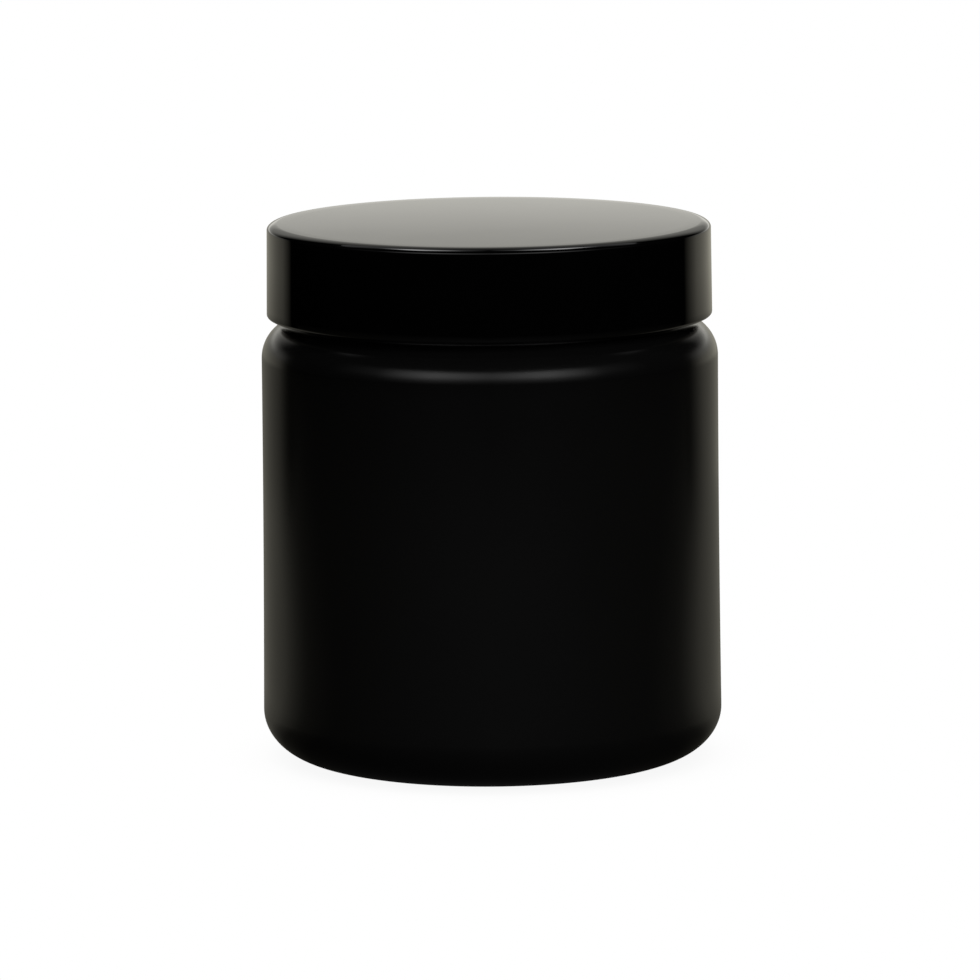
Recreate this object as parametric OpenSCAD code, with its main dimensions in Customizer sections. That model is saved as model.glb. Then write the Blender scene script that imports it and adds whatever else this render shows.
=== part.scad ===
// Candle in a straight-sided glass jar with a screw lid.
// Millimetres, +Z up. The origin is the middle of the base, on the surface that the jar stands on.

/* [Jar body] */
// Outside diameter just under the shoulder
body_d = 72.8; // [72.4:0.1:74]
// How much wider the body is just above the rounded heel, where the glass was blown last
heel_swell = 0.7; // [0:0.1:1]
// Height of the sealing rim above the table
rim_z = 82.8; // [82:0.1:84]
// Height at which the rounded shoulder would be level
shoulder_z = 70.5; // [70:0.1:71]
// Radius of the rounded shoulder
shoulder_r = 6; // [5.5:0.1:6.2]
// How far in from the side the rounded heel reaches
heel_in = 9.3; // [8:0.1:10]
// How far up the side the rounded heel reaches
heel_up = 7.8; // [7:0.1:9]
// Thickness of the side wall
wall_t = 3.2; // [2.8:0.1:3.6]
// Thickness of the glass over the middle of the base
base_t = 4.2; // [3.5:0.1:5]
// Height of the hollow under the base
push_up_h = 1.8; // [1:0.1:2.5]
// Width of the flat ring that the jar stands on
foot_ring_w = 2.5; // [2:0.1:4]

/* [Neck and thread] */
// Outside diameter of the neck between the threads
neck_d = 65.6; // [65:0.1:66]
// Outside diameter over the thread
thread_d = 68; // [67.6:0.1:68.2]
// Diameter of the mouth
mouth_d = 59.6; // [58:0.1:60.4]
// Threads to the inch
threads_per_inch = 6; // [6:1:6]
// Radius of the fillet where the shoulder meets the neck
neck_fillet_r = 1.3; // [1:0.1:1.6]
// Turns of thread on the neck, and in the lid
thread_turns = 1.25; // [1:0.05:1.4]
// Height of the middle of the neck thread's lower end
thread_low_z = 74.6; // [74.4:0.1:74.9]

/* [Lid] */
// Outside diameter at the open edge
lid_d = 71; // [70.8:0.1:71.4]
// Moulding draft: how much narrower the lid is at the top
lid_draft = 0.3; // [0:0.1:0.4]
// Height of the lid
lid_h = 14.9; // [14.5:0.1:15]
// Thickness of the lid's top
lid_top_t = 1.9; // [1.6:0.1:2.2]
// Inside diameter of the skirt between the threads
skirt_bore_d = 68.6; // [68.6:0.1:68.8]
// How far in from the side the rounded edge of the top reaches
lid_top_edge_in = 1.7; // [0.8:0.1:2.2]
// How far down the side the rounded edge of the top reaches
lid_top_edge_down = 1; // [0.8:0.1:1.6]
// Radius of the rounded open edge
lid_low_edge_r = 0.5; // [0.3:0.1:0.5]
// Thickness of the foam liner
liner_t = 1.2; // [0.8:0.1:1.4]

/* [Candle] */
// Height of the wax surface above the table
wax_z = 63.5; // [50:0.5:63.5]
// Height of the tip of the wick above the wax
wick_out = 8.5; // [5:0.5:9]
// Diameter of the wick
wick_d = 2.5; // [2:0.1:3]
// Diameter of the metal disc that holds the wick upright
sustainer_d = 20; // [15:1:30]
// Height of the tube on that disc
sustainer_neck_h = 6; // [4:0.5:9]
// Thickness of the disc's sheet metal
sheet_t = 0.3; // [0.25:0.05:0.4]
// Thickness of the foam sticker under the disc
sticker_t = 0.8; // [0.5:0.1:1.2]

/* [Hidden] */

$fn = 144;
inch = 25.4;
pitch = inch / threads_per_inch;
touch = 0.05;   // gap between faces that rest on each other
play = 0.3;     // gap between the threads of the jar and of the lid
lead_in = 0.2;  // how much smaller a disc is than the round recess that it drops into

// Jar
body_r = body_d / 2;
heel_r = body_r + heel_swell / 2;
neck_r = neck_d / 2;
mouth_r = mouth_d / 2;
shoulder_mid = [body_r - shoulder_r, shoulder_z - shoulder_r];
inner_shoulder_r = shoulder_r - wall_t;
foot_out_r = heel_r - heel_in;
foot_in_r = foot_out_r - foot_ring_w;
floor_z = push_up_h + base_t;
rim_edge_r = 0.8;    // rounding of the sealing rim, inside and out
inner_heel_r = 5;    // rounding between the floor and the wall inside
inner_heel_z = floor_z + inner_heel_r;

// Threads: a ridge on the neck, and one in the lid that hooks under it
jar_ridge_w = [2.4, 0.9];    // width at the foot and along the crest
lid_ridge_w = [1.8, 0.6];
jar_crest_r = thread_d / 2;
lid_crest_r = neck_r + play;
ridge_drop = (jar_ridge_w[0] + jar_ridge_w[1] + lid_ridge_w[0] + lid_ridge_w[1]) / 4 + play;
ridge_root = 0.4;    // how deep a ridge's foot is sunk in the wall that carries it
ridge_step = 7.5;    // degrees between two sections of a ridge
ridge_fade = 30;     // degrees over which a ridge rises out of the wall at each end

// Lid
lid_r = lid_d / 2;
lid_top_r = lid_r - lid_draft / 2;
skirt_bore_r = skirt_bore_d / 2;
liner_z = rim_z + touch;
lid_ceiling_z = liner_z + liner_t + touch;
lid_top_z = lid_ceiling_z + lid_top_t;
lid_low_z = lid_top_z - lid_h;
liner_r = skirt_bore_r - lead_in;
bead_in = 0.4;       // how far the bead under the liner stands in from the skirt
bead_crest_h = bead_in / 2;
bead_low_z = rim_z - 2 * bead_in;

// Candle
wick_r = wick_d / 2;
sleeve_r = wick_r + touch;
sustainer_z = floor_z + sticker_t;
sleeve_top_z = sustainer_z + sustainer_neck_h;
sustainer_r = sustainer_d / 2;
sticker_inset = 0.5; // how far the sticker's edge stands in from the disc's
sticker_r = sustainer_r - sticker_inset;
meniscus_h = 0.6;    // how far the wax climbs the glass
meniscus_w = 4;      // and over what width it climbs

// Points on an ellipse's arc round mid, from one angle to another
function arc(mid, rx, ry, from, to, steps) =
    [for (i = [0 : steps]) let (a = from + (to - from) * i / steps) mid + [rx * cos(a), ry * sin(a)]];

// The same for a circle
function round_arc(mid, r, from, to, steps) = arc(mid, r, r, from, to, steps);

// The points in the opposite order
function reversed(points) = [for (i = [len(points) - 1 : -1 : 0]) points[i]];

// The points without any that repeats the one before it
function without_repeats(points) =
    [for (i = [0 : len(points) - 1]) if (i == 0 || norm(points[i] - points[i - 1]) > 0.001) points[i]];

// Radius of the body at a height: the swell over the heel dies away up the wall
function side_r(z) = body_r + heel_swell / 2 * pow((shoulder_mid.y - z) / (shoulder_mid.y - heel_up), 2);

// The body's side between two heights, moved in by inset
function side(inset, from_z, to_z) = let (steps = 8)
    [for (i = [0 : steps]) let (z = from_z + (to_z - from_z) * i / steps) [side_r(z) - inset, z]];

// The hollow of the glass from its floor up to a height, moved in by gap
function hollow(gap, to_z) = concat(
    round_arc(
        [side_r(inner_heel_z) - wall_t - inner_heel_r, inner_heel_z], inner_heel_r - gap, -90, 0, 10
    ),
    side(wall_t + gap, inner_heel_z, to_z)
);

// The domed hollow under the base
function push_up() = let (steps = 10)
    [for (i = [0 : steps]) let (t = i / steps) [foot_in_r * t, push_up_h * (1 - t * t)]];

// Outline of the glass, as radius and height
function glass_outline() = let (
    fillet_x = neck_r + neck_fillet_r,
    shoulder_end = acos((fillet_x - shoulder_mid.x) / (shoulder_r + neck_fillet_r)),
    fillet_z = shoulder_mid.y + (shoulder_r + neck_fillet_r) * sin(shoulder_end),
    rim_edge_z = rim_z - rim_edge_r,
    throat_r = shoulder_mid.x - mouth_r,
    throat_z = shoulder_mid.y + inner_shoulder_r + throat_r
) concat(
    push_up(),
    arc([foot_out_r, heel_up], heel_in, heel_up, -90, 0, 18),
    side(0, heel_up, shoulder_mid.y),
    round_arc(shoulder_mid, shoulder_r, 0, shoulder_end, 12),
    round_arc([fillet_x, fillet_z], neck_fillet_r, 180 + shoulder_end, 180, 6),
    round_arc([neck_r - rim_edge_r, rim_edge_z], rim_edge_r, 0, 90, 6),
    round_arc([mouth_r + rim_edge_r, rim_edge_z], rim_edge_r, 90, 180, 6),
    round_arc([shoulder_mid.x, throat_z], throat_r, 180, 270, 4),
    round_arc(shoulder_mid, inner_shoulder_r, 90, 0, 8),
    reversed(hollow(0, shoulder_mid.y)),
    [[0, floor_z]]
);

// Outline of the lid without its thread, from the middle of its top
function lid_outline() = let (
    flat_r = lid_top_r - lid_top_edge_in,
    edge_z = lid_top_z - lid_top_edge_down
) concat(
    [[0, lid_top_z]],
    arc([flat_r, edge_z], lid_top_edge_in, lid_top_edge_down, 90, 0, 10),
    round_arc([lid_r - lid_low_edge_r, lid_low_z + lid_low_edge_r], lid_low_edge_r, 0, -90, 6),
    [
        [skirt_bore_r + bead_in / 2, lid_low_z],
        [skirt_bore_r, lid_low_z + bead_in],
        [skirt_bore_r, bead_low_z],
        [skirt_bore_r - bead_in, bead_low_z + bead_in],
        [skirt_bore_r - bead_in, bead_low_z + bead_in + bead_crest_h],
        [skirt_bore_r, rim_z],
        [skirt_bore_r, lid_ceiling_z],
        [0, lid_ceiling_z]
    ]
);

// Outline of the wax, from the wick out to the glass and back under the metal disc
function wax_outline() = let (steps = 8, edge_r = side_r(wax_z) - wall_t - touch) concat(
    [[sleeve_r, wax_z]],
    [for (i = [0 : steps]) let (t = i / steps)
        [edge_r - meniscus_w * (1 - t), wax_z + meniscus_h * t * t]],
    reversed(hollow(touch, wax_z)),
    [
        [side_r(inner_heel_z) - wall_t - inner_heel_r, floor_z + touch],
        [sticker_r + touch, floor_z + touch],
        [sticker_r + touch, sustainer_z],
        [sustainer_r + touch, sustainer_z],
        [sustainer_r + touch, sustainer_z + sheet_t + touch],
        [sleeve_r + sheet_t + touch, sustainer_z + sheet_t + touch],
        [sleeve_r + sheet_t + touch, sleeve_top_z + touch],
        [sleeve_r, sleeve_top_z + touch]
    ]
);

// A screw ridge that climbs from low_z for thread_turns turns. Its foot is sunk in the wall at foot_r,
// and it stands out to crest_r, which is outside the wall on a neck and inside it in a lid.
module screw_ridge(foot_r, crest_r, widths, low_z) {
    out = sign(crest_r - foot_r);
    root_r = foot_r - out * ridge_root;
    buried_r = foot_r - out * ridge_root / 2;
    steps = round(thread_turns * 360 / ridge_step);
    sides = 4;
    function section(i) = let (
        a = i * ridge_step,
        fade = min(1, a / ridge_fade, (steps * ridge_step - a) / ridge_fade),
        tip_r = buried_r + (crest_r - buried_r) * fade,
        z = low_z + pitch * a / 360
    ) [for (p = [
        [root_r, -widths[0] / 2], [tip_r, -widths[1] / 2], [tip_r, widths[1] / 2], [root_r, widths[0] / 2]
    ]) [p[0] * cos(a), p[0] * sin(a), z + p[1]]];
    points = [for (i = [0 : steps]) each section(i)];
    skin = [for (i = [0 : steps - 1]) for (k = [0 : sides - 1]) let (
        here = i * sides + k,
        next = i * sides + (k + 1) % sides
    ) each [[here, here + sides, next], [next, here + sides, next + sides]]];
    ends = [[0, 1, 2, 3], [for (k = [sides - 1 : -1 : 0]) steps * sides + k]];
    faces = concat(skin, ends);
    polyhedron(points, out > 0 ? [for (f = faces) reversed(f)] : faces);
}

module jar() {
    color([0.05, 0.05, 0.05]) union() {
        rotate_extrude() polygon(without_repeats(glass_outline()));
        screw_ridge(neck_r, jar_crest_r, jar_ridge_w, thread_low_z);
    }
}

module lid() {
    color([0.09, 0.09, 0.09]) union() {
        rotate_extrude() polygon(without_repeats(lid_outline()));
        screw_ridge(skirt_bore_r, lid_crest_r, lid_ridge_w, thread_low_z - ridge_drop);
    }
}

module lid_liner() {
    color([0.93, 0.93, 0.9]) translate([0, 0, liner_z]) cylinder(r = liner_r, h = liner_t);
}

module wax_fill() {
    color([0.95, 0.91, 0.82]) rotate_extrude() polygon(without_repeats(wax_outline()));
}

module wick() {
    color([0.9, 0.87, 0.79]) translate([0, 0, sustainer_z])
        cylinder(r = wick_r, h = wax_z + wick_out - sustainer_z);
}

module wick_sustainer() {
    color([0.75, 0.76, 0.77]) rotate_extrude() polygon([
        [sleeve_r, sustainer_z],
        [sustainer_r, sustainer_z],
        [sustainer_r, sustainer_z + sheet_t],
        [sleeve_r + sheet_t, sustainer_z + sheet_t],
        [sleeve_r + sheet_t, sleeve_top_z],
        [sleeve_r, sleeve_top_z]
    ]);
}

module wick_sticker() {
    color([0.92, 0.9, 0.85]) translate([0, 0, floor_z]) cylinder(r = sticker_r, h = sticker_t);
}

jar();
lid();
lid_liner();
wax_fill();
wick();
wick_sustainer();
wick_sticker();
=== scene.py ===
"""Looks of the lidded candle jar: fine meshes, materials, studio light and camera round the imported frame.

Sizes are in millimetres while an outline is drawn and become metres in the mesh. Places come from the frame's
boxes, so every piece stands where the CAD has it.
"""

import math
import random

import bmesh
import bpy
from mathutils import Matrix, Vector


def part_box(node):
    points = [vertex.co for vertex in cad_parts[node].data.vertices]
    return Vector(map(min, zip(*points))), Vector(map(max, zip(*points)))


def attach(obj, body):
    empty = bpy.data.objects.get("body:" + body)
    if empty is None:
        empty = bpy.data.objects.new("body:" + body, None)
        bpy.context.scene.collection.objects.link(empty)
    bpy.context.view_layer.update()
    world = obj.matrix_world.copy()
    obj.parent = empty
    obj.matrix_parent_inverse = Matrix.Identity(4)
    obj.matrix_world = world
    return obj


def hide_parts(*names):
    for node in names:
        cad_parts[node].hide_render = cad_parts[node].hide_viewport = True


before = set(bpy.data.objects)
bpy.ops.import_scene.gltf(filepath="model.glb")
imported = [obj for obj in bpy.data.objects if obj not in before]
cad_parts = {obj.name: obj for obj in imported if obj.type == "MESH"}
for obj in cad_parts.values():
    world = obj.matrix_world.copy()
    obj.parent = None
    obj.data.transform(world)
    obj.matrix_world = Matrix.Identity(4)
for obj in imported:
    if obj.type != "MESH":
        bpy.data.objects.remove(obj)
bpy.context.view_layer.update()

MM = 0.001
INCH = 25.4

# How near two lengths in millimetres count as the same
ON_AXIS, SAME_POINT, ON_WALL = 1e-6, 1e-4, 1e-3


# ---------------------------------------------------------------- sizes, in millimetres

def box_mm(node):
    """A CAD node's outer radius, lowest and highest z, in millimetres."""
    low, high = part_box(node)
    return (high.x - low.x) / 2 / MM, low.z / MM, high.z / MM


HEEL_R, _, RIM_Z = box_mm("jar")
LID_R, LID_LOW_Z, LID_TOP_Z = box_mm("lid")
LINER_R, LINER_LOW_Z, LINER_TOP_Z = box_mm("lid_liner")
_, FLOOR_Z, WAX_EDGE_Z = box_mm("wax_fill")
WICK_R, _, WICK_TIP_Z = box_mm("wick")
DISC_R, DISC_Z, SLEEVE_TOP_Z = box_mm("wick_sustainer")
STICKER_R, STICKER_Z, STICKER_TOP_Z = box_mm("wick_sticker")

# The glass, as the CAD draws it
SWELL = 0.35
BODY_R = HEEL_R - SWELL
HEEL_IN, HEEL_UP = 9.3, 7.8
WALL_T = 3.2
SHOULDER_R = 6.0
SHOULDER_X, SHOULDER_Z = BODY_R - SHOULDER_R, 64.5
FOOT_RING_W, PUSH_UP_H = 2.5, 1.8
NECK_R, NECK_THREAD_R, MOUTH_R = 32.8, 34.0, 29.8
RIM_EDGE_R = 0.8
INNER_HEEL_R = 5.0
NECK_FILLET_R = 1.3

# The screw thread on the neck and in the lid, whose ridge hooks under the neck's. Each ridge has one width
# at its foot and another along its crest.
PITCH = INCH / 6
THREAD_TURNS = 1.25
THREAD_PLAY = 0.3
THREAD_FADE_DEG = 30
NECK_THREAD_W, LID_THREAD_W = (2.4, 0.9), (1.8, 0.6)
NECK_THREAD_Z = 74.6
LID_THREAD_Z = NECK_THREAD_Z - (sum(NECK_THREAD_W) + sum(LID_THREAD_W)) / 4 - THREAD_PLAY

# The lid, whose radius is smaller at the top by the draft
LID_DRAFT = 0.15
LID_TOP_T = 1.9
LID_TOP_EDGE_IN, LID_TOP_EDGE_DOWN, LID_LOW_EDGE_R = 1.7, 1.0, 0.5
SKIRT_R, LID_THREAD_R = 34.3, NECK_R + THREAD_PLAY
BEAD_IN = 0.4

# The candle
MENISCUS_H, MENISCUS_W = 0.6, 4.0
WAX_Z = WAX_EDGE_Z - MENISCUS_H
SHEET_T = 0.3
GAP = 0.05  # between faces that rest on each other

# Segments round the axis: on the jar and lid, on the wax and liner, and on the small discs and the floor
AROUND, AROUND_INSIDE, AROUND_SMALL = 288, 192, 96


# ---------------------------------------------------------------- the camera and the studio

# The camera stands CAMERA_DISTANCE metres from a point on the jar's axis. Other lengths are in millimetres.
CAMERA_LENS, CAMERA_SENSOR_W = 275.4, 36
CAMERA_DISTANCE = 1.2
CAMERA_RISE_DEG = 9.0
CAMERA_ORBIT_Z = 40.0
CAMERA_AIM_X, CAMERA_AIM_Z = -0.15, 42.74
CAMERA_ROLL_DEG = -0.48

# The studio is plain: each light is a short list of stops, (place, brightness), where 1 is white paper.
# Headings are in degrees to the right of straight behind the jar.

# A curved backdrop with a low and a high glow, each across by heading and up by height in millimetres
BACKDROP_R, BACKDROP_H, BACKDROP_HALF_ANGLE = 300.0, 420.0, 68.0
LOW_GLOW_ACROSS = [(-62, 0), (-52, 0.7), (-35, 1), (0, 1.1), (25, 1.5), (50, 1), (65, 0)]
LOW_GLOW_UP = [(0, 0.18), (25, 0.18), (45, 0.35), (110, 0.35), (150, 0)]
HIGH_GLOW_ACROSS = [(-45, 0), (-25, 1.1), (25, 1.1), (45, 0)]
HIGH_GLOW_UP = [(95, 0), (110, 0.7), (125, 0.3), (200, 0.4), (420, 0.2)]
LOW_TINT, HIGH_TINT = (1.0, 0.96, 0.8, 1), (1.0, 0.985, 0.91, 1)
TINT_LOW_Z, TINT_HIGH_Z = 60, 110

# The floor as the jar mirrors it, by heading either way, plus a turn that grows outward, and by distance from
# the jar's axis in millimetres. It is warm behind the jar and neutral in front.
FLOOR_TURN_PER_MM = 0.11
FLOOR_AROUND = [(45, 0.2), (80, 0.2), (100, 0.05), (120, 0.02), (215, 0.05), (240, 0)]
FLOOR_AWAY = [(40, 0.5), (80, 1), (300, 1), (550, 0)]
FLOOR_WARM_TO, FLOOR_NEUTRAL_FROM = 100, 160

# Soft boxes by heading and by rise in degrees: one on each side of the camera and a pair high behind the jar
FRONT_BOXES = [(-180, 0.5), (-150, 1.2), (-120, 0.1), (-90, 0), (90, 0), (120, 0.1), (150, 1.2), (180, 0.5)]
FRONT_BOXES_UP = [(0, 0), (10, 0.2), (20, 1), (30, 1), (38, 0)]
BACK_BOXES = [(-80, 0), (-45, 3), (0, 1), (45, 3), (80, 0)]
BACK_BOXES_UP = [(44, 0), (48, 0.2), (60, 0.1), (85, 0)]

# A pair of panels overhead, by how far their direction leans to the right and away from the camera
PANELS_RIGHT = [(-0.4, 0), (-0.3, 6), (-0.1, 0.5), (0, 0), (0.1, 0.5), (0.3, 6), (0.4, 0)]
PANELS_AWAY = [(-0.02, 0), (0.04, 1), (0.3, 1), (0.36, 0)]

# What the rest of the room sends
ROOM_LEVEL = 0.004

# The floor's radius in metres, and how far it lies under the jar in millimetres
FLOOR_R, FLOOR_DROP = 4.0, 0.02

# The contact shade: its reach in metres, its brightness in the deepest corner, the share of open sky at
# which it ends, and the distances from the jar's axis in millimetres over which it fades
CONTACT_REACH = 0.02
CONTACT_LEVEL, CLEAR_SHADE = 0.92, 0.8
CONTACT_FADE = 70, 120

# Soft square lights that light the wax and the foam: place and size in metres, height they aim at, and watts
LIGHTS = {
    "top_softbox": ((0.0, 0.1, 1.1), 0.7, 0.05, 4.0),
    "front_softbox": ((0.3, -0.7, 0.55), 0.4, 0.08, 5.0),
}


# ---------------------------------------------------------------- outlines and meshes

def arc(mid_r, mid_z, r, start, end, steps, rz=None):
    """Points (radius, z) on a circle's arc, or an ellipse's if rz is given. Angles in degrees."""
    angles = [math.radians(start + (end - start) * i / steps) for i in range(steps + 1)]
    return [(mid_r + r * math.cos(a), mid_z + (rz or r) * math.sin(a)) for a in angles]


def line(start, end, steps):
    """Points from start to end, both included."""
    return [
        tuple(a + (b - a) * i / steps for a, b in zip(start, end)) for i in range(steps + 1)
    ]


def smooth(t):
    """0 below 0, 1 above 1, and an S curve between them."""
    t = min(1.0, max(0.0, t))
    return t * t * (3 - 2 * t)


def side_r(z):
    """Radius of the glass body at a height: the swell over the heel dies away up the wall."""
    return BODY_R + SWELL * ((SHOULDER_Z - z) / (SHOULDER_Z - HEEL_UP)) ** 2


def side(inset, low, high, steps):
    """The body's side between two heights, moved in by inset."""
    return [(side_r(z) - inset, z) for _, z in line((0, low), (0, high), steps)]


def without_repeats(points):
    """The points without any that repeats the one before it."""
    kept = points[:1]
    for p in points[1:]:
        if math.dist(p, kept[-1]) > SAME_POINT:
            kept.append(p)
    return kept


def lathe(name, outline, reach=None, segments=AROUND):
    """A smooth mesh turned round the z axis from an outline of (radius, z), in millimetres.

    A point on the axis becomes a pole. reach(angle, radius, z) may give another radius, as for a thread.
    """
    mesh = bmesh.new()
    rings = []
    for r, z in without_repeats(outline):
        if r < ON_AXIS:
            rings.append([mesh.verts.new((0, 0, z * MM))])
            continue
        ring = []
        for i in range(segments):
            a = 2 * math.pi * i / segments
            out = reach(a, r, z) if reach else r
            ring.append(mesh.verts.new((out * math.cos(a) * MM, out * math.sin(a) * MM, z * MM)))
        rings.append(ring)
    for low, high in zip(rings, rings[1:]):
        for i in range(segments):
            j = (i + 1) % segments
            corners = [low[i % len(low)], low[j % len(low)], high[j % len(high)], high[i % len(high)]]
            mesh.faces.new(list(dict.fromkeys(corners)))
    bmesh.ops.recalc_face_normals(mesh, faces=mesh.faces)
    return mesh_object(name, mesh)


def mesh_object(name, mesh):
    """A smooth-shaded object from a bmesh, which it frees."""
    for face in mesh.faces:
        face.smooth = True
    data = bpy.data.meshes.new(name)
    mesh.to_mesh(data)
    mesh.free()
    made = bpy.data.objects.new(name, data)
    bpy.context.scene.collection.objects.link(made)
    return made


def thread_reach(wall_r, crest_r, widths, low_z):
    """A reach for lathe() that raises a rounded screw ridge from the wall at wall_r to crest_r."""
    foot, crest = widths[0] / 2, widths[1] / 2
    length = THREAD_TURNS * 2 * math.pi
    fade = math.radians(THREAD_FADE_DEG)

    def reach(angle, r, z):
        if abs(r - wall_r) > ON_WALL:
            return r
        height = 0.0
        for turn in range(int(THREAD_TURNS) + 1):
            along = angle + turn * 2 * math.pi
            if along <= length:
                off = abs(z - low_z - PITCH * along / (2 * math.pi))
                rise = smooth(min(along, length - along) / fade)
                height = max(height, rise * smooth((foot - off) / (foot - crest)))
        return r + (crest_r - wall_r) * height

    return reach


# ---------------------------------------------------------------- shader graphs

class Graph:
    """Short calls for the nodes of a material or of the world."""

    def __init__(self, tree):
        self.tree = tree
        tree.nodes.clear()

    def node(self, kind, inputs=None, **settings):
        made = self.tree.nodes.new("ShaderNode" + kind)
        for key, value in settings.items():
            setattr(made, key, value)
        for key, value in (inputs or {}).items():
            self.feed(made.inputs[key], value)
        return made

    def feed(self, socket, value):
        if isinstance(value, bpy.types.NodeSocket):
            self.tree.links.new(value, socket)
        else:
            socket.default_value = value

    def math(self, operation, a, b=0.0):
        return self.node("Math", {0: a, 1: b}, operation=operation).outputs[0]

    def remap(self, value, low, high, to_low=0.0, to_high=1.0, kind="SMOOTHSTEP"):
        inputs = {"Value": value, "From Min": low, "From Max": high, "To Min": to_low, "To Max": to_high}
        return self.node("MapRange", inputs, interpolation_type=kind).outputs["Result"]

    def noise(self, vector, scale, detail=2.0, roughness=0.5):
        inputs = {"Vector": vector, "Scale": scale, "Detail": detail, "Roughness": roughness}
        return self.node("TexNoise", inputs).outputs["Fac"]

    def cells(self, vector, scale):
        inputs = {"Vector": vector, "Scale": scale}
        return self.node("TexVoronoi", inputs, feature="SMOOTH_F1").outputs["Distance"]

    def mix_colour(self, share, a, b):
        made = self.node("Mix", {0: share}, data_type="RGBA")
        self.feed(made.inputs[6], a)
        self.feed(made.inputs[7], b)
        return made.outputs[2]

    def bump(self, height, distance, strength=1.0):
        inputs = {"Height": height, "Distance": distance, "Strength": strength}
        return self.node("Bump", inputs).outputs["Normal"]

    def position(self):
        return self.node("TexCoord").outputs["Object"]

    def curve(self, value, stops):
        """A brightness that follows stops of (value, brightness), which are in rising order."""
        low, high = stops[0][0], stops[-1][0]
        share = self.remap(value, low, high, kind="LINEAR")
        made = self.node("ValToRGB", {"Fac": share})
        elements = made.color_ramp.elements
        for at, level in stops[1:-1]:
            elements.new((at - low) / (high - low)).color = (level, level, level, 1)
        for element, (_, level) in zip((elements[0], elements[-1]), (stops[0], stops[-1])):
            element.color = (level, level, level, 1)
        return made.outputs["Color"]

    def product(self, x, x_stops, y, y_stops):
        """The product of two such brightnesses."""
        return self.math("MULTIPLY", self.curve(x, x_stops), self.curve(y, y_stops))

    def heading(self, x, y):
        """Degrees to the right of +Y, from -180 to 180."""
        return self.math("DEGREES", self.math("ARCTAN2", x, y))


def material(name, paint, **fixed):
    """A material whose Principled shader has fixed values and whatever paint(graph, shader) adds."""
    made = bpy.data.materials.new(name)
    made.use_nodes = True
    graph = Graph(made.node_tree)
    shader = graph.node("BsdfPrincipled", fixed)
    paint(graph, shader)
    graph.node("OutputMaterial", {"Surface": shader.outputs[0]})
    return made


def grey(level, warmth=0.0):
    """A colour near grey, a little yellow for a positive warmth."""
    return (level * (1 + warmth), level, level * (1 - 2 * warmth), 1)


def paint_lacquer(graph, shader):
    """Sprayed matte black: a fine pebble from the spray, and slow changes of sheen."""
    place = graph.position()
    pebble = graph.noise(place, 2600, 3)
    drift = graph.noise(place, 45, 3)
    graph.feed(shader.inputs["Base Color"], graph.mix_colour(drift, grey(0.0022), grey(0.003)))
    graph.feed(shader.inputs["Roughness"], graph.remap(drift, 0.3, 0.7, 0.17, 0.19))
    graph.feed(shader.inputs["Normal"], graph.bump(pebble, 0.01 * MM, 0.5))


def paint_glass(graph, shader):
    """Black glass where the jar has no lacquer: glossy, with slow waves from blowing."""
    place = graph.position()
    waves = graph.noise(place, 60, 1)
    specks = graph.noise(place, 900, 2)
    graph.feed(shader.inputs["Base Color"], graph.mix_colour(specks, grey(0.004), grey(0.007)))
    graph.feed(shader.inputs["Roughness"], graph.remap(specks, 0.3, 0.8, 0.05, 0.1))
    graph.feed(shader.inputs["Normal"], graph.bump(waves, 0.12 * MM, 0.6))


def paint_lid(graph, shader):
    """Gloss black moulding: faint flow waves, handling haze and hair-fine scratches."""
    place = graph.position()
    flow = graph.noise(place, 38, 1)
    haze = graph.noise(place, 110, 4, 0.6)
    stretched = graph.node("Mapping", {"Vector": place, "Scale": (90, 2400, 2400)}).outputs[0]
    scratches = graph.noise(stretched, 1, 2)
    graph.feed(shader.inputs["Base Color"], graph.mix_colour(haze, grey(0.0005), grey(0.0009)))
    graph.feed(shader.inputs["Roughness"], graph.remap(haze, 0.35, 0.75, 0.035, 0.06))
    height = graph.math("ADD", flow, graph.math("MULTIPLY", scratches, 0.01))
    graph.feed(shader.inputs["Normal"], graph.bump(height, 0.02 * MM, 0.5))


def paint_foam(graph, shader):
    """White foam liner: a smooth skin over fine cells."""
    place = graph.position()
    cells = graph.cells(place, 3200)
    dust = graph.noise(place, 500, 3)
    graph.feed(shader.inputs["Base Color"], graph.mix_colour(dust, grey(0.8, 0.01), grey(0.87, 0.01)))
    graph.feed(shader.inputs["Roughness"], graph.remap(dust, 0.3, 0.7, 0.55, 0.7))
    graph.feed(shader.inputs["Normal"], graph.bump(cells, 0.05 * MM, 0.5))


def paint_wax(graph, shader):
    """Poured soy wax: cloudy frosting, a soft satin skin and slow hollows from cooling."""
    place = graph.position()
    frost = graph.noise(place, 260, 5, 0.62)
    clouds = graph.noise(place, 70, 3)
    hollows = graph.noise(place, 120, 2)
    shade = graph.mix_colour(clouds, (0.83, 0.74, 0.56, 1), (0.88, 0.81, 0.65, 1))
    patches = graph.remap(frost, 0.52, 0.72, 0.0, 0.5)
    graph.feed(shader.inputs["Base Color"], graph.mix_colour(patches, shade, (0.93, 0.89, 0.79, 1)))
    graph.feed(shader.inputs["Roughness"], graph.remap(frost, 0.4, 0.7, 0.36, 0.58))
    height = graph.math("ADD", hollows, graph.math("MULTIPLY", frost, 0.12))
    graph.feed(shader.inputs["Normal"], graph.bump(height, 0.25 * MM, 0.6))


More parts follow.
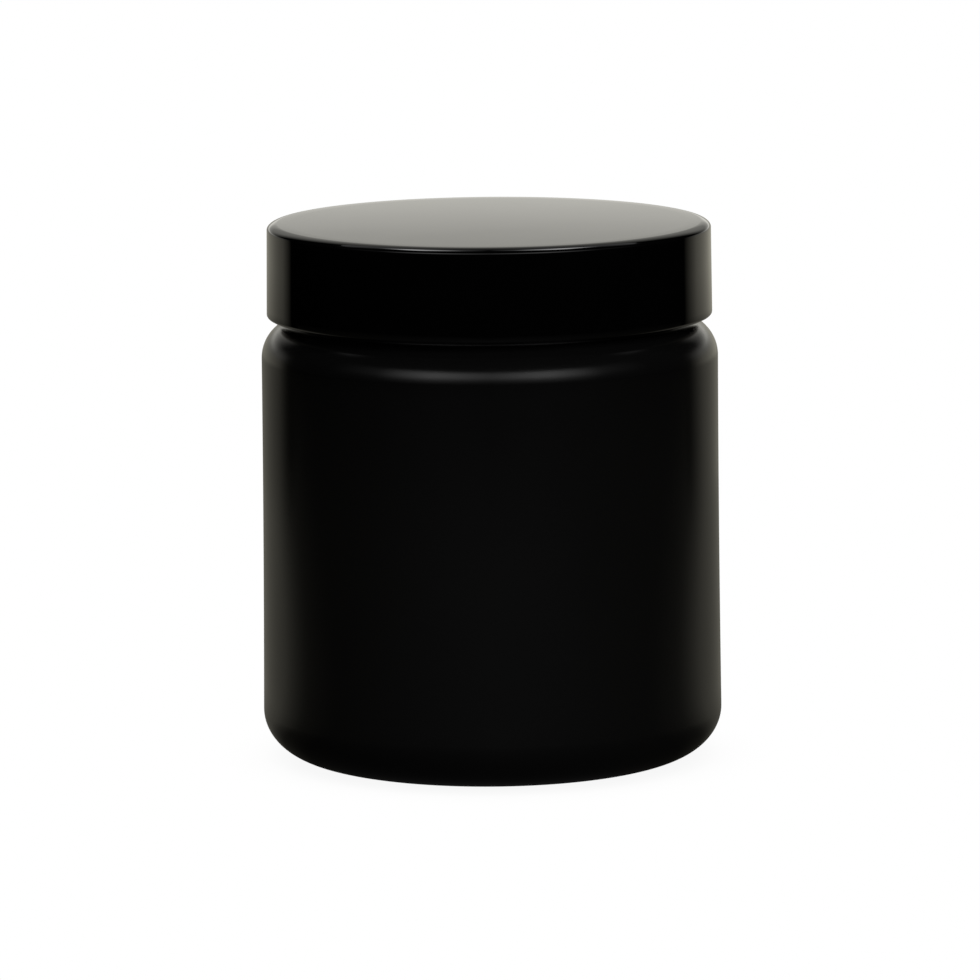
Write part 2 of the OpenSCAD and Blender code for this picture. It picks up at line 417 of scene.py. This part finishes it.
def paint_cotton(graph, shader):
    """Waxed cotton yarn: fine fibres along the strand and a little grey in the folds."""
    place = graph.position()
    along = graph.node("Mapping", {"Vector": place, "Scale": (9000, 9000, 1600)}).outputs[0]
    fibres = graph.noise(along, 1, 3)
    stain = graph.noise(place, 700, 2)
    shade = graph.mix_colour(stain, (0.78, 0.71, 0.57, 1), (0.88, 0.83, 0.72, 1))
    graph.feed(shader.inputs["Base Color"], shade)
    graph.feed(shader.inputs["Roughness"], graph.remap(fibres, 0.3, 0.7, 0.6, 0.85))
    graph.feed(shader.inputs["Normal"], graph.bump(fibres, 0.05 * MM, 0.8))


def paint_tin(graph, shader):
    """Tinned sheet steel with the faint streaks of rolling."""
    place = graph.position()
    rolled = graph.node("Mapping", {"Vector": place, "Scale": (120, 3000, 3000)}).outputs[0]
    streaks = graph.noise(rolled, 1, 2)
    graph.feed(shader.inputs["Base Color"], graph.mix_colour(streaks, grey(0.6), grey(0.72)))
    graph.feed(shader.inputs["Roughness"], graph.remap(streaks, 0.3, 0.7, 0.22, 0.36))
    graph.feed(shader.inputs["Normal"], graph.bump(streaks, 0.01 * MM, 0.4))


def paint_sticker(graph, shader):
    """Cream foam pad with open cells at its cut edge."""
    place = graph.position()
    cells = graph.cells(place, 2600)
    shade = graph.mix_colour(cells, (0.8, 0.76, 0.66, 1), (0.88, 0.85, 0.77, 1))
    graph.feed(shader.inputs["Base Color"], shade)
    graph.feed(shader.inputs["Roughness"], graph.remap(cells, 0.1, 0.6, 0.7, 0.85))
    graph.feed(shader.inputs["Normal"], graph.bump(cells, 0.1 * MM, 0.6))


# ---------------------------------------------------------------- pieces

def place(piece, body, node, slot, *skins):
    """Gives a finished piece its materials and its place in the frame, standing for a CAD node."""
    for skin in skins:
        piece.data.materials.append(skin)
    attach(piece, body)
    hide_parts(node)


def hollow(gap, top, steps):
    """The inside of the glass from its floor up to a height, moved in by gap."""
    low = FLOOR_Z + INNER_HEEL_R
    mid = side_r(low) - WALL_T - INNER_HEEL_R
    return arc(mid, low, INNER_HEEL_R - gap, -90, 0, 14) + side(WALL_T + gap, low, top, steps)


def make_jar():
    """The glass: hollow base, heel, body, shoulder, threaded neck, rim and inside, as one closed surface."""
    foot_out = HEEL_R - HEEL_IN
    foot_in = foot_out - FOOT_RING_W
    foot_edge, foot_edge_h = 0.5, 0.2
    bare_rings = 5  # rings of the rim's rounding that carry no lacquer
    fillet_x = NECK_R + NECK_FILLET_R
    fillet_up = math.sqrt((SHOULDER_R + NECK_FILLET_R) ** 2 - (fillet_x - SHOULDER_X) ** 2)
    fillet_z = SHOULDER_Z + fillet_up
    shoulder_end = math.degrees(math.atan2(fillet_up, fillet_x - SHOULDER_X))
    rim_edge_z = RIM_Z - RIM_EDGE_R
    inner_r = SHOULDER_R - WALL_T
    throat_r = SHOULDER_X - MOUTH_R
    throat_z = SHOULDER_Z + inner_r + throat_r
    push_up = [((foot_in - foot_edge) * t / 12, PUSH_UP_H * (1 - (t / 12) ** 2)) for t in range(13)]
    outside = (
        push_up
        + arc(foot_in, foot_edge_h, foot_edge, 180, 270, 5, foot_edge_h)
        + arc(foot_out, HEEL_UP, HEEL_IN, -90, 0, 30, HEEL_UP)
        + side(0, HEEL_UP, SHOULDER_Z, 30)
        + arc(SHOULDER_X, SHOULDER_Z, SHOULDER_R, 0, shoulder_end, 20)
        + arc(fillet_x, fillet_z, NECK_FILLET_R, 180 + shoulder_end, 180, 8)
        + line((NECK_R, fillet_z), (NECK_R, rim_edge_z), 60)
        + arc(NECK_R - RIM_EDGE_R, rim_edge_z, RIM_EDGE_R, 0, 90, 8)
    )
    inside = (
        arc(MOUTH_R + RIM_EDGE_R, rim_edge_z, RIM_EDGE_R, 90, 180, 8)
        + line((MOUTH_R, rim_edge_z), (MOUTH_R, throat_z), 16)
        + arc(SHOULDER_X, throat_z, throat_r, 180, 270, 6)
        + arc(SHOULDER_X, SHOULDER_Z, inner_r, 90, 0, 12)
        + hollow(0, SHOULDER_Z, 16)[::-1]
        + [(0, FLOOR_Z)]
    )
    reach = thread_reach(NECK_R, NECK_THREAD_R, NECK_THREAD_W, NECK_THREAD_Z)
    jar = lathe("jar_glass", outside + inside, reach)
    lacquer = material("matte_black_lacquer", paint_lacquer, IOR=1.5)
    glass = material("black_glass", paint_glass, IOR=1.52)
    place(jar, "jar", "jar", "jar", lacquer, glass)
    bare_face = (len(without_repeats(outside)) - bare_rings) * AROUND
    for face in jar.data.polygons:
        face.material_index = int(face.index >= bare_face)


def make_lid():
    """The moulded lid: flat top, rounded edges, drafted side, inner thread and the liner's bead."""
    top_r = LID_R - LID_DRAFT
    flat_r, edge_z = top_r - LID_TOP_EDGE_IN, LID_TOP_Z - LID_TOP_EDGE_DOWN
    ceiling = LID_TOP_Z - LID_TOP_T
    bead_low = RIM_Z - 2 * BEAD_IN
    corner, inner_edge = 0.6, 0.3
    outline = (
        line((0, LID_TOP_Z), (flat_r, LID_TOP_Z), 16)
        + arc(flat_r, edge_z, LID_TOP_EDGE_IN, 90, 0, 24, LID_TOP_EDGE_DOWN)
        + line((top_r, edge_z), (LID_R, LID_LOW_Z + LID_LOW_EDGE_R), 14)
        + arc(LID_R - LID_LOW_EDGE_R, LID_LOW_Z + LID_LOW_EDGE_R, LID_LOW_EDGE_R, 0, -90, 8)
        + arc(SKIRT_R + inner_edge, LID_LOW_Z + inner_edge, inner_edge, 270, 180, 5)
        + line((SKIRT_R, LID_LOW_Z + inner_edge), (SKIRT_R, bead_low), 58)
        + arc(SKIRT_R, bead_low + BEAD_IN, BEAD_IN, 270, 90, 8)
        + line((SKIRT_R, bead_low + 2 * BEAD_IN), (SKIRT_R, ceiling - corner), 3)
        + arc(SKIRT_R - corner, ceiling - corner, corner, 0, 90, 6)
        + [(0, ceiling)]
    )
    reach = thread_reach(SKIRT_R, LID_THREAD_R, LID_THREAD_W, LID_THREAD_Z)
    lid = lathe("lid_shell", outline, reach)
    place(lid, "lid", "lid", "lid", material("gloss_black_moulding", paint_lid, IOR=1.5))


def make_liner():
    """The foam wad, with the ring that the jar's rim has pressed into it."""
    edge = 0.25
    dent, dent_inset, lead_far, lead_near = 0.12, 0.6, 1.2, 0.5
    dent_in, dent_out = MOUTH_R + dent_inset, NECK_R - dent_inset
    outline = (
        [(0, LINER_LOW_Z), (dent_in - lead_far, LINER_LOW_Z), (dent_in - lead_near, LINER_LOW_Z)]
        + arc((dent_in + dent_out) / 2, LINER_LOW_Z, (dent_out - dent_in) / 2, 180, 0, 12, dent)
        + arc(LINER_R - edge, LINER_LOW_Z + edge, edge, -90, 0, 4)
        + arc(LINER_R - edge, LINER_TOP_Z - edge, edge, 0, 90, 4)
        + [(0, LINER_TOP_Z)]
    )
    liner = lathe("foam_liner", outline, segments=AROUND_INSIDE)
    foam = material("white_foam", paint_foam, **{"Subsurface Weight": 0.15, "Subsurface Scale": 0.5 * MM})
    place(liner, "liner", "lid_liner", "lid_liner", foam)


def make_wax():
    """The poured candle: it climbs the glass and the wick, and wraps the metal disc."""
    edge_r = side_r(WAX_Z) - WALL_T - GAP
    climb_w, climb_h = 1.4, 0.5
    bore = WICK_R + GAP
    top = [(bore + climb_w * t / 8, WAX_Z + climb_h * (1 - t / 8) ** 2) for t in range(9)]
    rim = [(edge_r - MENISCUS_W * (1 - t / 12), WAX_Z + MENISCUS_H * (t / 12) ** 2) for t in range(13)]
    outline = (
        top
        + line(top[-1], rim[0], 40)
        + rim
        + hollow(GAP, WAX_Z, 12)[::-1]
        + [
            (STICKER_R + GAP, FLOOR_Z + GAP),
            (STICKER_R + GAP, DISC_Z),
            (DISC_R + GAP, DISC_Z),
            (DISC_R + GAP, DISC_Z + SHEET_T + GAP),
            (bore + SHEET_T + GAP, DISC_Z + SHEET_T + GAP),
            (bore + SHEET_T + GAP, SLEEVE_TOP_Z + GAP),
            (bore, SLEEVE_TOP_Z + GAP),
            (bore, WAX_Z + climb_h),
        ]
    )
    wax = lathe("soy_wax", outline, segments=AROUND_INSIDE)
    fixed = {"Subsurface Weight": 0.35, "Subsurface Scale": 2 * MM, "Subsurface Radius": (1.0, 0.6, 0.35)}
    place(wax, "jar", "wax_fill", "wax", material("soy_wax", paint_wax, **fixed))


def tube(mesh, path, radii, sides):
    """Adds a closed tube of the given radii along a path of points, in millimetres."""
    rings = []
    for i, (point, r) in enumerate(zip(path, radii)):
        ahead = (path[min(i + 1, len(path) - 1)] - path[max(i - 1, 0)]).normalized()
        across = ahead.cross(Vector((-point.y, point.x, 0.0))).normalized()
        other = ahead.cross(across)
        turns = [2 * math.pi * k / sides for k in range(sides)]
        ring = [point + r * (across * math.cos(t) + other * math.sin(t)) for t in turns]
        rings.append([mesh.verts.new(co * MM) for co in ring])
    for low, high in zip(rings, rings[1:]):
        for k in range(sides):
            j = (k + 1) % sides
            mesh.faces.new((low[k], low[j], high[j], high[k]))
    mesh.faces.new(rings[0][::-1])
    mesh.faces.new(rings[-1])


def make_wick():
    """A round braid of eight yarns, four winding each way and passing over and under, round a core."""
    rng = random.Random(7)
    yarns_each_way, lay = 4, 7.5
    yarn_r, weave = 0.36, 0.17
    mid_r = WICK_R - yarn_r - weave
    tip_h, tip_gather, tip_taper = 0.9, 0.8, 0.45
    core_short = 0.5
    near_axis = 0.001
    step = 0.3
    mesh = bmesh.new()
    core = line((mid_r, DISC_Z + 2 * GAP), (mid_r, WICK_TIP_Z - core_short), 12)
    tube(mesh, [Vector((near_axis, 0, z)) for _, z in core], [mid_r] * len(core), 16)
    for way in (1, -1):
        for yarn in range(yarns_each_way):
            tip_z = WICK_TIP_Z - GAP - rng.random() * core_short
            steps = round((tip_z - DISC_Z) / step)
            path, radii = [], []
            for _, z in line((0, DISC_Z + GAP), (0, tip_z), steps):
                wind = 2 * math.pi * (z - DISC_Z) / lay
                pinch = smooth((tip_z - z) / tip_h)
                gather = tip_gather + (1 - tip_gather) * pinch
                r = (mid_r + way * weave * math.cos(yarns_each_way * wind)) * gather
                a = way * wind + 2 * math.pi * yarn / yarns_each_way
                path.append(Vector((r * math.cos(a), r * math.sin(a), z)))
                radii.append(yarn_r * (tip_taper + (1 - tip_taper) * math.sqrt(pinch)))
            tube(mesh, path, radii, 10)
    bmesh.ops.recalc_face_normals(mesh, faces=mesh.faces)
    wick = mesh_object("braided_wick", mesh)
    cotton = material("waxed_cotton", paint_cotton, **{"Sheen Weight": 0.25, "Sheen Roughness": 0.5})
    place(wick, "jar", "wick", "wick", cotton)


def make_sustainer():
    """The stamped disc and its tube, crimped onto the wick."""
    bore = WICK_R + GAP
    low, high = DISC_Z, DISC_Z + SHEET_T
    bend = 0.5
    crimp_in, crimp_at, crimp_reach, crimps = 0.1, 0.62, 0.22, 4
    half = SHEET_T / 2
    outline = (
        [(bore, low)]
        + arc(DISC_R - half, low + half, half, -90, 90, 8)
        + arc(bore + SHEET_T + bend, high + bend, bend, 270, 180, 6)
        + line((bore + SHEET_T, high + bend), (bore + SHEET_T, SLEEVE_TOP_Z - half), 24)
        + arc(bore + half, SLEEVE_TOP_Z - half, half, 0, 180, 6)
        + line((bore, SLEEVE_TOP_Z - half), (bore, low), 24)
    )

    def crimp(angle, r, z):
        on_tube = r < bore + SHEET_T + ON_WALL
        height = (z - low) / (SLEEVE_TOP_Z - low)
        press = smooth(1 - abs(height - crimp_at) / crimp_reach) * (1 + math.cos(crimps * angle)) / 2
        return r - crimp_in * on_tube * press

    disc = lathe("tin_sustainer", outline, crimp, AROUND_SMALL)
    tin = material("tinned_steel", paint_tin, Metallic=1.0)
    place(disc, "jar", "wick_sustainer", "sustainer", tin)


def make_sticker():
    """The foam pad between the disc and the glass, squeezed so that its edge bulges."""
    bulge = 0.2
    mid_z, half = (STICKER_Z + STICKER_TOP_Z) / 2, (STICKER_TOP_Z - STICKER_Z) / 2
    edge = arc(STICKER_R - bulge, mid_z, bulge, -90, 90, 10, half)
    outline = [(0, STICKER_Z)] + edge + [(0, STICKER_TOP_Z)]
    pad = lathe("foam_sticker", outline, segments=AROUND_SMALL)
    place(pad, "jar", "wick_sticker", "sticker", material("cream_foam", paint_sticker))


# ---------------------------------------------------------------- studio

def make_backdrop():
    """A curved wall of soft light behind the jar. The jar and lid mirror it; the camera doesn't see it."""
    steps = 64
    mesh = bmesh.new()
    columns = []
    for i in range(steps + 1):
        a = math.radians(BACKDROP_HALF_ANGLE) * (2 * i / steps - 1)
        foot = Vector((math.sin(a), math.cos(a), 0)) * BACKDROP_R * MM
        columns.append((mesh.verts.new(foot), mesh.verts.new(foot + Vector((0, 0, BACKDROP_H * MM)))))
    for (low, high), (next_low, next_high) in zip(columns, columns[1:]):
        mesh.faces.new((low, next_low, next_high, high))
    backdrop = mesh_object("backdrop", mesh)
    backdrop.visible_camera = False
    made = bpy.data.materials.new("backdrop_glow")
    made.use_nodes = True
    graph = Graph(made.node_tree)
    at = graph.node("SeparateXYZ", {0: graph.position()}).outputs
    height = graph.math("DIVIDE", at["Z"], MM)
    heading = graph.heading(at["X"], at["Y"])
    low = graph.product(heading, LOW_GLOW_ACROSS, height, LOW_GLOW_UP)
    high = graph.product(heading, HIGH_GLOW_ACROSS, height, HIGH_GLOW_UP)
    level = graph.math("ADD", low, high)
    tint = graph.mix_colour(graph.remap(height, TINT_LOW_Z, TINT_HIGH_Z), LOW_TINT, HIGH_TINT)
    glow = graph.node("Emission", {"Color": tint, "Strength": level}).outputs[0]
    graph.node("OutputMaterial", {"Surface": glow})
    backdrop.data.materials.append(made)


def make_world():
    """White to the eye. To everything else, a dark room with soft boxes in front of the jar and over it."""
    world = bpy.data.worlds.new("studio")
    bpy.context.scene.world = world
    world.use_nodes = True
    graph = Graph(world.node_tree)
    way = graph.node("SeparateXYZ", {0: graph.node("TexCoord").outputs["Generated"]}).outputs
    heading = graph.heading(way["X"], way["Y"])
    rise = graph.math("DEGREES", graph.math("ARCSINE", way["Z"]))
    panels = graph.product(way["X"], PANELS_RIGHT, way["Y"], PANELS_AWAY)
    overhead = graph.math("GREATER_THAN", way["Z"])
    light = graph.math("ADD", graph.math("MULTIPLY", panels, overhead), ROOM_LEVEL)
    for across, up in ((FRONT_BOXES, FRONT_BOXES_UP), (BACK_BOXES, BACK_BOXES_UP)):
        light = graph.math("ADD", graph.product(heading, across, rise, up), light)
    seen = graph.node("LightPath").outputs["Is Camera Ray"]
    strength = graph.node("Mix", {0: seen, 2: light, 3: 1.0}, data_type="FLOAT").outputs[0]
    background = graph.node("Background", {"Color": grey(1.0), "Strength": strength})
    graph.node("OutputWorld", {"Surface": background.outputs[0]})


def make_floor():
    """A pale floor: white where it is seen, dim where the black jar mirrors it, with a soft contact shade."""
    mesh = bmesh.new()
    bmesh.ops.create_circle(mesh, cap_ends=True, segments=AROUND_SMALL, radius=FLOOR_R)
    floor = mesh_object("floor", mesh)
    floor.location.z = -FLOOR_DROP * MM
    made = bpy.data.materials.new("pale_floor")
    made.use_nodes = True
    graph = Graph(made.node_tree)
    at = graph.node("SeparateXYZ", {0: graph.position()}).outputs
    far = graph.node("VectorMath", {0: graph.position()}, operation="LENGTH").outputs["Value"]
    away = graph.math("DIVIDE", far, MM)
    shade = graph.node("AmbientOcclusion", {"Distance": CONTACT_REACH}, samples=16).outputs["AO"]
    clear = graph.math("MAXIMUM", shade, graph.remap(away, *CONTACT_FADE))
    bright = graph.remap(clear, 0.0, CLEAR_SHADE, CONTACT_LEVEL, 1.0)
    seen = graph.node("Emission", {"Strength": bright}).outputs[0]
    turned = graph.math("ABSOLUTE", graph.heading(at["X"], at["Y"]))
    around = graph.math("ADD", turned, graph.math("MULTIPLY", away, FLOOR_TURN_PER_MM))
    level = graph.product(around, FLOOR_AROUND, away, FLOOR_AWAY)
    neutral = graph.remap(turned, FLOOR_WARM_TO, FLOOR_NEUTRAL_FROM)
    tint = graph.mix_colour(neutral, LOW_TINT, grey(1.0))
    mirrored = graph.node("Emission", {"Color": tint, "Strength": level}).outputs[0]
    path = graph.node("LightPath").outputs["Is Camera Ray"]
    lit = graph.node("MixShader", {0: path, 1: mirrored, 2: seen}).outputs[0]
    below = graph.node("NewGeometry").outputs["Backfacing"]
    see_through = graph.node("BsdfTransparent").outputs[0]
    surface = graph.node("MixShader", {0: below, 1: lit, 2: see_through}).outputs[0]
    graph.node("OutputMaterial", {"Surface": surface})
    floor.data.materials.append(made)


def make_light(name, place_m, size, aim_z, power):
    """A soft square light aimed at the jar's axis, which the glossy pieces don't mirror."""
    data = bpy.data.lights.new(name, "AREA")
    data.shape = "SQUARE"
    data.size = size
    data.energy = power
    light = bpy.data.objects.new(name, data)
    light.location = place_m
    aim = Vector((0, 0, aim_z))
    light.rotation_euler = (aim - Vector(place_m)).to_track_quat("-Z", "Y").to_euler()
    light.visible_glossy = False
    bpy.context.scene.collection.objects.link(light)


def make_camera():
    """The camera in front of the jar, a little above it, tipped very slightly."""
    data = bpy.data.cameras.new("camera")
    data.lens = CAMERA_LENS
    data.sensor_width = CAMERA_SENSOR_W
    data.clip_start = 0.01
    camera = bpy.data.objects.new("camera", data)
    rise = math.radians(CAMERA_RISE_DEG)
    orbit = Vector((0, 0, CAMERA_ORBIT_Z * MM))
    camera.location = orbit + CAMERA_DISTANCE * Vector((0, -math.cos(rise), math.sin(rise)))
    aim = Vector((CAMERA_AIM_X * MM, 0, CAMERA_AIM_Z * MM))
    facing = (aim - camera.location).to_track_quat("-Z", "Y")
    roll = Matrix.Rotation(math.radians(CAMERA_ROLL_DEG), 3, "Z").to_quaternion()
    camera.rotation_mode = "QUATERNION"
    camera.rotation_quaternion = facing @ roll
    bpy.context.scene.collection.objects.link(camera)
    bpy.context.scene.camera = camera


make_camera()
make_jar()
make_lid()
make_liner()
make_wax()
make_wick()
make_sustainer()
make_sticker()
make_world()
make_backdrop()
make_floor()
for light_name, settings in LIGHTS.items():
    make_light(light_name, *settings)
bpy.context.scene.view_settings.view_transform = "Standard"
